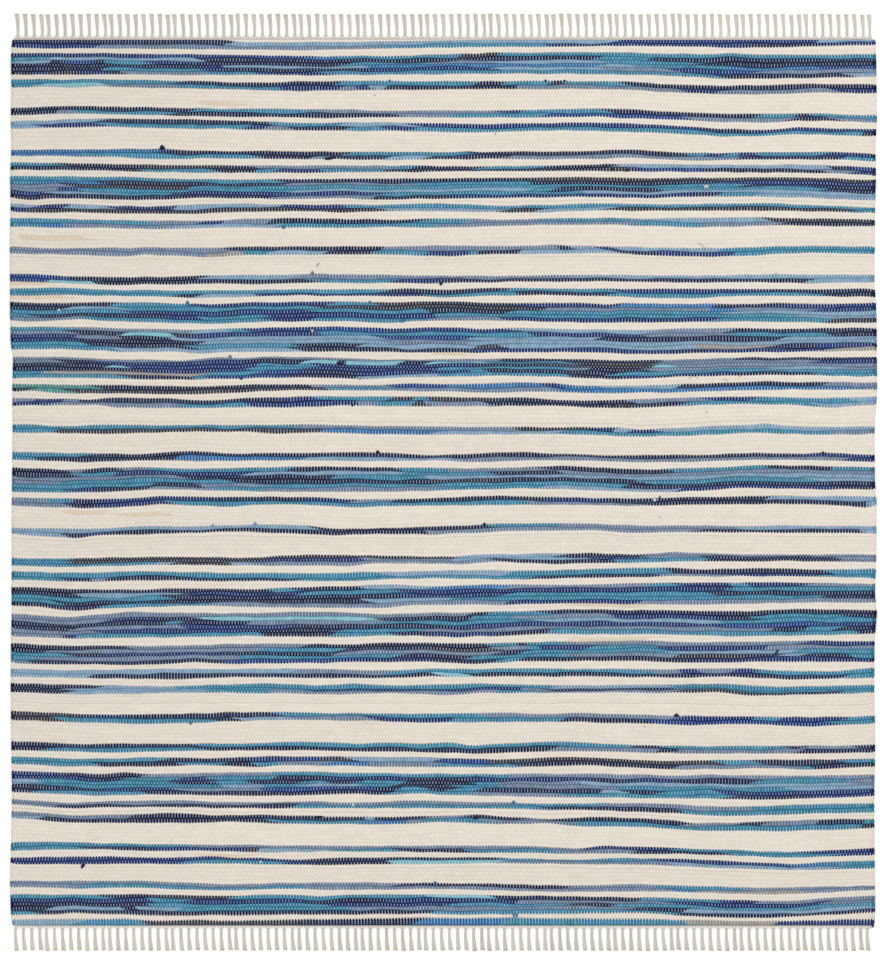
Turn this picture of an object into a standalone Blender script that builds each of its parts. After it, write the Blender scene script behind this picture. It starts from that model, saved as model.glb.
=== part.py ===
# A handwoven cotton rag rug, laid out flat on the floor.
# One woven cloth, with a raised rib for each row of rag weft, and at each end a narrow
# heading of bunched warp ends that carries the fringe.
# Metres, +Z up. X runs along the weft rows and Y along the warp.
# The origin is on the floor, under the middle of the rug.

from collections import namedtuple
from math import pi, sin

import bmesh
import bpy

# Driving dimensions of the cloth
CLOTH_WIDTH = 1.830
CLOTH_LENGTH = 1.878
WEFT_ROWS = 236
CREST_HEIGHT = 0.0064
GROOVE_HEIGHT = 0.0050

# The weft turns back at each side edge, so a rib stands a little proud of the groove beside it
SELVEDGE_BULGE = 0.0008

# Two slow waves in the ribs, which die out towards the two straight ends: how far each one
# strays, and how many times it repeats over the width and over each metre of length
WANDER_STEPS = 6
WANDER_FADE = 0.12
Wave = namedtuple("Wave", "reach across along")
WANDER_WAVES = [Wave(0.0030, 1.1, 0.9), Wave(0.0014, 2.3, -2.1)]

# Driving dimensions of a heading and its fringe
STRANDS = 109
STRAND_LENGTH = 0.0510
STRAND_PITCH = 0.01712
CLOSE_PITCH = 0.01405
CLOSE_EVERY = 8
CLOSE_FIRST = 3
ROOT_WIDTH = 0.0058
WAIST_WIDTH = 0.0060
TIP_WIDTH = 0.0092
WAIST_SHARE = 0.45
TIP_LEAN = 0.0026
HEADING_DEPTH = 0.0060
HEADING_HEIGHT = 0.0034
HEADING_INSET = 0.0030
TIP_HEIGHT = 0.0026
SEAM_GAP = 0.0003
FAR_FRINGE_SHIFT = 0.0012
NEAR_FRINGE_SHIFT = -0.0045

# How far each side edge stands outside the mean width, down the length from the far end
EdgeRow = namedtuple("EdgeRow", "along left right")
SIDE_EDGES = [
    EdgeRow(0.000, -0.0045, -0.0010),
    EdgeRow(0.012, -0.0005, 0.0005),
    EdgeRow(0.043, 0.0010, 0.0013),
    EdgeRow(0.107, 0.0000, 0.0023),
    EdgeRow(0.170, 0.0015, 0.0030),
    EdgeRow(0.234, 0.0000, 0.0000),
    EdgeRow(0.298, 0.0030, 0.0010),
    EdgeRow(0.362, 0.0015, -0.0010),
    EdgeRow(0.425, 0.0035, -0.0017),
    EdgeRow(0.510, 0.0030, -0.0023),
    EdgeRow(0.584, 0.0030, 0.0020),
    EdgeRow(0.648, 0.0015, 0.0028),
    EdgeRow(0.672, -0.0035, 0.0028),
    EdgeRow(0.733, -0.0020, 0.0035),
    EdgeRow(0.828, -0.0025, -0.0020),
    EdgeRow(0.934, -0.0013, -0.0015),
    EdgeRow(0.981, -0.0006, 0.0025),
    EdgeRow(1.104, -0.0006, 0.0013),
    EdgeRow(1.172, 0.0000, -0.0015),
    EdgeRow(1.214, -0.0006, 0.0032),
    EdgeRow(1.284, 0.0010, -0.0020),
    EdgeRow(1.380, 0.0015, -0.0030),
    EdgeRow(1.485, 0.0006, -0.0006),
    EdgeRow(1.612, -0.0010, -0.0030),
    EdgeRow(1.719, 0.0010, -0.0023),
    EdgeRow(1.782, 0.0032, -0.0015),
    EdgeRow(1.857, 0.0015, -0.0010),
    EdgeRow(1.878, -0.0020, -0.0030),
]

CREAM_COTTON = (0.74, 0.68, 0.59, 1.0)
BLUE_RAG_COTTON = (0.33, 0.40, 0.50, 1.0)
COTTON_ROUGHNESS = 0.9


def clear_scene():
    for old in list(bpy.data.objects):
        bpy.data.objects.remove(old)


def cotton(name, colour):
    material = bpy.data.materials.new(name)
    material.use_nodes = True
    shader = material.node_tree.nodes["Principled BSDF"]
    shader.inputs["Base Color"].default_value = colour
    shader.inputs["Roughness"].default_value = COTTON_ROUGHNESS
    return material


def add_node(name, mesh_data, material):
    mesh = bpy.data.meshes.new(name)
    mesh_data.to_mesh(mesh)
    mesh_data.free()
    mesh.materials.append(material)
    node = bpy.data.objects.new(name, mesh)
    bpy.context.scene.collection.objects.link(node)
    return node


def edge_offset(along, side):
    """Offset of one side edge at a distance from the far end, between the table's rows."""
    for before, after in zip(SIDE_EDGES, SIDE_EDGES[1:]):
        if along <= after.along:
            share = (along - before.along) / (after.along - before.along)
            low, high = getattr(before, side), getattr(after, side)
            return low + share * (high - low)
    return getattr(SIDE_EDGES[-1], side)


def wander(across, along):
    """How far a rib strays along Y at a share of the way across."""
    end = min(along, CLOTH_LENGTH - along)
    fade = max(0.0, min(1.0, end / WANDER_FADE))
    stray = 0.0
    for wave in WANDER_WAVES:
        stray += wave.reach * sin(2 * pi * (wave.across * across + wave.along * along))
    return fade * stray


def row_points(mesh, along, height, bulge, steps):
    """A line of points right across the cloth, at one distance from the far end."""
    left = -CLOTH_WIDTH / 2 - edge_offset(along, "left") - bulge
    right = CLOTH_WIDTH / 2 + edge_offset(along, "right") + bulge
    points = []
    for step in range(steps + 1):
        across = step / steps
        y = CLOTH_LENGTH / 2 - along + wander(across, along)
        points.append(mesh.verts.new((left + across * (right - left), y, height)))
    return points


def woven_cloth(material):
    """One closed sheet: ribbed on top, flat below, with a scalloped edge at each side."""
    pitch = CLOTH_LENGTH / WEFT_ROWS
    mesh = bmesh.new()
    top, floor = [], []
    for half_row in range(2 * WEFT_ROWS + 1):
        along = half_row * pitch / 2
        on_crest = half_row % 2 == 1
        height = CREST_HEIGHT if on_crest else GROOVE_HEIGHT
        bulge = SELVEDGE_BULGE if on_crest else 0.0
        top.append(row_points(mesh, along, height, bulge, WANDER_STEPS))
        if not on_crest:
            floor.append(row_points(mesh, along, 0.0, 0.0, 1))
    for upper, lower in zip(top, top[1:]):
        for step in range(WANDER_STEPS):
            mesh.faces.new((upper[step], lower[step], lower[step + 1], upper[step + 1]))
    for row in range(WEFT_ROWS):
        near, far = floor[row + 1], floor[row]
        groove, crest, next_groove = top[2 * row : 2 * row + 3]
        mesh.faces.new((near[0], far[0], far[1], near[1]))
        mesh.faces.new((far[0], near[0], next_groove[0], crest[0], groove[0]))
        mesh.faces.new((near[1], far[1], groove[-1], crest[-1], next_groove[-1]))
    mesh.faces.new((floor[0][1], floor[0][0], *top[0]))
    mesh.faces.new((floor[-1][0], floor[-1][1], *reversed(top[-1])))
    bmesh.ops.triangulate(mesh, faces=mesh.faces[:])
    bmesh.ops.recalc_face_normals(mesh, faces=mesh.faces[:])
    return add_node("woven_cloth", mesh, material)


def strand_centres():
    """Places of the strands across the rug: every eighth gap is a close one."""
    centres = [0.0]
    for gap in range(STRANDS - 1):
        close = gap % CLOSE_EVERY == CLOSE_FIRST
        centres.append(centres[-1] + (CLOSE_PITCH if close else STRAND_PITCH))
    middle = centres[-1] / 2
    return [centre - middle for centre in centres]


def fringe(name, towards, shift, material):
    """A heading strip with its strands, drawn in plan as quads and then raised to its height.

    towards is +1 for the far end and -1 for the near end, whose strands lean the other way.
    shift moves the strands along X."""
    mesh = bmesh.new()
    inner = CLOTH_LENGTH / 2 + SEAM_GAP
    outer = inner + HEADING_DEPTH
    half_strip = CLOTH_WIDTH / 2 - HEADING_INSET
    centres = [centre + shift for centre in strand_centres()]
    lean = -towards * TIP_LEAN

    def point(x, y):
        return mesh.verts.new((x, towards * y, 0.0))

    edges = [-half_strip]
    for centre in centres:
        edges += [centre - ROOT_WIDTH / 2, centre + ROOT_WIDTH / 2]
    edges.append(half_strip)
    inner_points = [point(x, inner) for x in edges]
    outer_points = [point(x, outer) for x in edges]
    for i in range(len(edges) - 1):
        corners = (inner_points[i], inner_points[i + 1], outer_points[i + 1], outer_points[i])
        mesh.faces.new(corners)
    waist_y = outer + WAIST_SHARE * STRAND_LENGTH
    tip_y = outer + STRAND_LENGTH
    for i, centre in enumerate(centres):
        root = outer_points[2 * i + 1], outer_points[2 * i + 2]
        waist = (
            point(centre - WAIST_WIDTH / 2, waist_y),
            point(centre + WAIST_WIDTH / 2, waist_y),
        )
        tip = (
            point(centre + lean - TIP_WIDTH / 2, tip_y),
            point(centre + lean + TIP_WIDTH / 2, tip_y),
        )
        mesh.faces.new((root[0], root[1], waist[1], waist[0]))
        mesh.faces.new((waist[0], waist[1], tip[1], tip[0]))
    raise_plan(mesh, outer)
    return add_node(name, mesh, material)


def raise_plan(mesh, strand_start):
    """Extrudes the plan upwards, full height at the heading and thinner out to the tips."""
    lifted = bmesh.ops.extrude_face_region(mesh, geom=mesh.faces[:])["geom"]
    for item in lifted:
        if isinstance(item, bmesh.types.BMVert):
            share = max(0.0, (abs(item.co.y) - strand_start) / STRAND_LENGTH)
            item.co.z = HEADING_HEIGHT + share * (TIP_HEIGHT - HEADING_HEIGHT)
    bmesh.ops.triangulate(mesh, faces=mesh.faces[:])
    bmesh.ops.recalc_face_normals(mesh, faces=mesh.faces[:])


def main():
    clear_scene()
    rag = cotton("rag_weft_cotton", BLUE_RAG_COTTON)
    warp = cotton("warp_cotton", CREAM_COTTON)
    woven_cloth(rag)
    fringe("fringe_far", 1, FAR_FRINGE_SHIFT, warp)
    fringe("fringe_near", -1, NEAR_FRINGE_SHIFT, warp)


main()
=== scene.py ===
# Handwoven rag rug: the looks. Metres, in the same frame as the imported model.
# X runs along the weft rows, +Y is the far end, and the floor is at z = 0.
import math
import random

import bpy
import numpy as np
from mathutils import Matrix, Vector


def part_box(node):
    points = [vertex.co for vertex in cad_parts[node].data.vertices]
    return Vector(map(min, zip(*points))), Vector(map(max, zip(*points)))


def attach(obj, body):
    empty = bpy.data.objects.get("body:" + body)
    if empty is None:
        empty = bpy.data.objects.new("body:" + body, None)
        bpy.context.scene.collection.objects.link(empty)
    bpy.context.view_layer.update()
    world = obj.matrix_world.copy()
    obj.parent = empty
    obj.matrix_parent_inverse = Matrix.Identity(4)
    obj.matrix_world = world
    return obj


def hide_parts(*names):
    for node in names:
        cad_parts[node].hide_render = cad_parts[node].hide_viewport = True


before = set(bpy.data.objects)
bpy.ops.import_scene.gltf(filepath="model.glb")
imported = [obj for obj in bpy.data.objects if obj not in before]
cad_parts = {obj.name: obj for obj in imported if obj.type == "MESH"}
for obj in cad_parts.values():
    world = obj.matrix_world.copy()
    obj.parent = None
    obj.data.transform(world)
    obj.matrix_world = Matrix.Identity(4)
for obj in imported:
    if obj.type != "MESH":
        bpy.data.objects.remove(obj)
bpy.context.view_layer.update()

random.seed(7)
noise = np.random.default_rng(11)
bodyName = "root"

# Camera: straight above, from far off, with the height that the photo's frame covers
camera = dict(frameHeight=2.0357, aimX=-0.0011, aimY=0.0048, lens=300.0, sensor=36.0)

camData = bpy.data.cameras.new("rug_camera")
camData.lens, camData.sensor_width, camData.sensor_fit = camera["lens"], camera["sensor"], "AUTO"
cameraDistance = camera["frameHeight"] / 2 / (camera["sensor"] / 2 / camera["lens"])
camData.clip_start, camData.clip_end = 1.0, 100.0
camObject = bpy.data.objects.new("rug_camera", camData)
camObject.location = (camera["aimX"], camera["aimY"], cameraDistance)
bpy.context.scene.collection.objects.link(camObject)
bpy.context.scene.camera = camObject
print("camera set", round(cameraDistance, 2), "m up")


# Colour helpers and the shader wrapper

def linear(rgb):
    # sRGB 0 to 255 to the linear values that shaders take
    out = []
    for value in rgb:
        c = value / 255
        out.append(c / 12.92 if c <= 0.04045 else ((c + 0.055) / 1.055) ** 2.4)
    return tuple(out)


class Sock:
    # a shader socket or a plain number, with the arithmetic that builds Math nodes
    def __init__(self, graph, socket):
        self.graph, self.socket = graph, socket

    def math(self, operation, *others):
        return self.graph.node("ShaderNodeMath", dict(operation=operation), [self, *others])

    def __add__(self, other):
        return self.math("ADD", other)

    def __radd__(self, other):
        return self.math("ADD", other)

    def __sub__(self, other):
        return self.math("SUBTRACT", other)

    def __rsub__(self, other):
        return self.graph.node("ShaderNodeMath", dict(operation="SUBTRACT"), [other, self])

    def __mul__(self, other):
        return self.math("MULTIPLY", other)

    def __rmul__(self, other):
        return self.math("MULTIPLY", other)

    def __truediv__(self, other):
        return self.math("DIVIDE", other)

    def __rtruediv__(self, other):
        return self.graph.node("ShaderNodeMath", dict(operation="DIVIDE"), [other, self])

    def __abs__(self):
        return self.math("ABSOLUTE")

    def fract(self):
        return self.math("FRACT")

    def floor(self):
        return self.math("FLOOR")

    def above(self, edge):
        return self.math("GREATER_THAN", edge)

    def ramp(self, low, high):
        # 0 below low, 1 above high, smooth between
        settings = dict(interpolation_type="SMOOTHSTEP", clamp=True)
        return self.graph.node("ShaderNodeMapRange", settings, [self, low, high, 0.0, 1.0])


class Graph:
    def __init__(self, name, roughness, sheen):
        self.material = bpy.data.materials.new(name)
        self.material.use_nodes = True
        self.tree = self.material.node_tree
        self.shader = self.tree.nodes["Principled BSDF"]
        self.shader.inputs["Roughness"].default_value = roughness
        self.shader.inputs["Specular IOR Level"].default_value = 0.08
        self.shader.inputs["Sheen Weight"].default_value = sheen
        self.shader.inputs["Sheen Roughness"].default_value = 0.6

    def node(self, kind, settings, values, output=0):
        made = self.tree.nodes.new(kind)
        for key, value in settings.items():
            setattr(made, key, value)
        pairs = values.items() if isinstance(values, dict) else enumerate(values)
        for key, value in pairs:
            if isinstance(value, Sock):
                self.tree.links.new(value.socket, made.inputs[key])
            else:
                made.inputs[key].default_value = value
        return Sock(self, made.outputs[output])

    def mix(self, share, first, second):
        # colours mixed by a share of the second one
        values = {0: share, 6: self.colour(first), 7: self.colour(second)}
        return self.node("ShaderNodeMix", dict(data_type="RGBA", blend_type="MIX"), values, output=2)

    def colour(self, value):
        return value if isinstance(value, Sock) else (*value[:3], 1.0)

    def shade(self, colour, tone):
        # a colour scaled by a grey value
        colour = colour if isinstance(colour, Sock) else tuple(colour[:3])
        return self.node("ShaderNodeVectorMath", dict(operation="SCALE"), {0: colour, "Scale": tone})

    def coords(self, mapName):
        made = self.node("ShaderNodeUVMap", dict(uv_map=mapName), [])
        split = self.tree.nodes.new("ShaderNodeSeparateXYZ")
        self.tree.links.new(made.socket, split.inputs[0])
        return Sock(self, split.outputs[0]), Sock(self, split.outputs[1])

    def vector(self, x, y, z=0.0):
        return self.node("ShaderNodeCombineXYZ", {}, [x, y, z])

    def grain(self, place, scale, detail=2.0, rough=0.5):
        values = {"Vector": place, "Scale": scale, "Detail": detail, "Roughness": rough}
        return self.node("ShaderNodeTexNoise", dict(noise_dimensions="3D"), values)

    def scatter(self, place):
        return self.node("ShaderNodeTexWhiteNoise", dict(noise_dimensions="3D"), {"Vector": place})

    def finish(self, colour, height=None, depth=0.0005, strength=1.0, rough=None):
        self.tree.links.new(colour.socket, self.shader.inputs["Base Color"])
        if rough is not None:
            self.tree.links.new(rough.socket, self.shader.inputs["Roughness"])
        if height is not None:
            bump = self.node("ShaderNodeBump", {}, {"Strength": strength, "Distance": depth, "Height": height})
            self.tree.links.new(bump.socket, self.shader.inputs["Normal"])
        return self.material


# The rag yarns, as they look in soft daylight

ragColours = dict(
    k=(12, 17, 46), b=(42, 35, 38), n=(11, 31, 84), r=(11, 45, 102), c=(38, 94, 142), t=(46, 115, 142),
    a=(120, 172, 184), y=(117, 142, 165), s=(102, 113, 135), g=(140, 131, 123), e=(62, 124, 116),
    w=(211, 202, 191), p=(202, 184, 163),
)

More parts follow.
